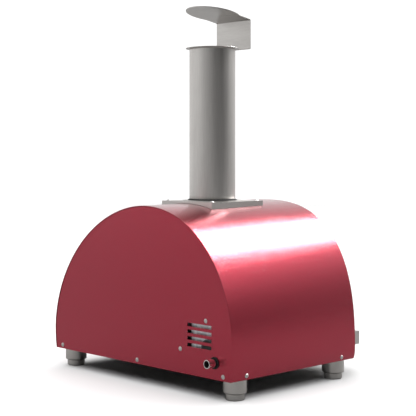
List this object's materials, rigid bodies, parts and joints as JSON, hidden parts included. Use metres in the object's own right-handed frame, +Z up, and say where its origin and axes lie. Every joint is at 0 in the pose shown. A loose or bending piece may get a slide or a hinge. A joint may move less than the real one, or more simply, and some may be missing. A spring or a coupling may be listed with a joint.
{
  "type": "countertop pizza oven",
  "caption": "Countertop gas pizza oven: arched sheet body, lined chamber with tile hearth and side burner, flue pipe with bent rain cap, levelling feet",
  "frame": {"origin": "middle of the overall footprint, on the surface that the pads stand on", "axes": "+Z up; the mouth and shelf face -Y, and the rear panel with its louvres and gas inlet faces +Y; the burner side is -X"},
  "size_m": [0.5633, 0.4666, 0.789],
  "materials": {
    "red_paint": "gloss metallic powder coat",
    "stainless": "satin brushed",
    "liner_steel": "mill finish, heat tinted",
    "galvanised": "zinc spangle",
    "tray_steel": "matt black",
    "tile": "unglazed fire clay",
    "fibre": "ceramic fibre",
    "board": "calcium silicate board",
    "gasket": "graphite rope",
    "foot_steel": "turned, satin",
    "pad_steel": "turned, satin",
    "brass": "machined",
    "copper": "drawn tube",
    "nipple": "plated",
    "rubber": "matt",
    "black_plastic": "fine texture",
    "button_plastic": "gloss",
    "lead": "silicone sleeve",
    "porcelain": "glazed",
    "dial": "white enamel",
    "needle": "matt black",
    "glass": "clear",
    "screw_steel": "bright"
  },
  "bodies": {
    "oven": {"base_tray": "tray_steel", "outer_vault": "red_paint", "rear_panel": "red_paint", "front_facade": "stainless", "mouth_trim": "stainless", "front_shelf": "stainless", "inner_vault": "liner_steel", "inner_rear_wall": "liner_steel", "inner_front_wall": "liner_steel", "fibre_blanket": "fibre", "rear_insulation": "fibre", "floor_insulation": "board", "hearth_pan": "liner_steel", "hearth_tile_left": "tile", "hearth_tile_right": "tile", "flame_guard": "liner_steel", "flue_plate": "stainless", "flue_spigot": "stainless", "spigot_flange": "stainless", "flue_gasket": "gasket", "foot_rear_right": "foot_steel", "foot_rear_left": "foot_steel", "foot_front_right": "foot_steel", "foot_front_left": "foot_steel", "burner_box": "galvanised", "louvre_baffle": "galvanised", "burner_tube": "liner_steel", "burner_bracket": "liner_steel", "gas_injector": "brass", "gas_inlet": "nipple", "inlet_grommet": "rubber", "inlet_nut": "brass", "supply_tube": "copper", "burner_feed_tube": "copper", "gas_valve": "brass", "igniter_body": "black_plastic", "ignition_lead": "lead", "spark_electrode": "porcelain", "thermocouple": "copper", "thermometer_case": "stainless", "thermometer_dial": "dial", "thermometer_glass": "glass", "rear_screws": "screw_steel", "side_screws": "screw_steel", "plate_screws": "screw_steel", "facade_screws": "screw_steel"},
    "pad_rear_right": {"pad_rear_right": "pad_steel"},
    "pad_rear_left": {"pad_rear_left": "pad_steel"},
    "pad_front_right": {"pad_front_right": "pad_steel"},
    "pad_front_left": {"pad_front_left": "pad_steel"},
    "flue": {"flue_pipe": "stainless"},
    "cap": {"rain_cap": "stainless"},
    "stem": {"valve_stem": "nipple"},
    "knob": {"control_knob": "black_plastic"},
    "button": {"igniter_button": "button_plastic"},
    "needle": {"thermometer_needle": "needle"}
  },
  "joints": [
    {"name": "level_rear_right", "type": "slide", "parent": "oven", "child": "pad_rear_right", "axis": [0, 0, -1], "range_m": [0, 0.01]},
    {"name": "level_rear_left", "type": "slide", "parent": "oven", "child": "pad_rear_left", "axis": [0, 0, -1], "range_m": [0, 0.01]},
    {"name": "level_front_right", "type": "slide", "parent": "oven", "child": "pad_front_right", "axis": [0, 0, -1], "range_m": [0, 0.01]},
    {"name": "level_front_left", "type": "slide", "parent": "oven", "child": "pad_front_left", "axis": [0, 0, -1], "range_m": [0, 0.01]},
    {"name": "flue_lift", "type": "slide", "parent": "oven", "child": "flue", "axis": [0, 0, 1], "range_m": [0, 0.06]},
    {"name": "cap_lift", "type": "slide", "parent": "flue", "child": "cap", "axis": [0, 0, 1], "range_m": [0, 0.025]},
    {"name": "knob_push", "type": "slide", "parent": "oven", "child": "stem", "axis": [0, 1, 0], "range_m": [0, 0.003], "stiffness_N_per_m": 500, "springref_m": -0.003},
    {"name": "knob_turn", "type": "hinge", "parent": "stem", "child": "knob", "pos_m": [-0.196, -0.22325, 0.0745], "axis": [0, -1, 0], "range_deg": [0, 210]},
    {"name": "igniter_press", "type": "slide", "parent": "oven", "child": "button", "axis": [0, 1, 0], "range_m": [0, 0.004], "stiffness_N_per_m": 600, "springref_m": -0.003},
    {"name": "needle_turn", "type": "hinge", "parent": "oven", "child": "needle", "pos_m": [0.23, -0.16055, 0.158], "axis": [0, 1, 0], "range_deg": [0, 270]}
  ]
}
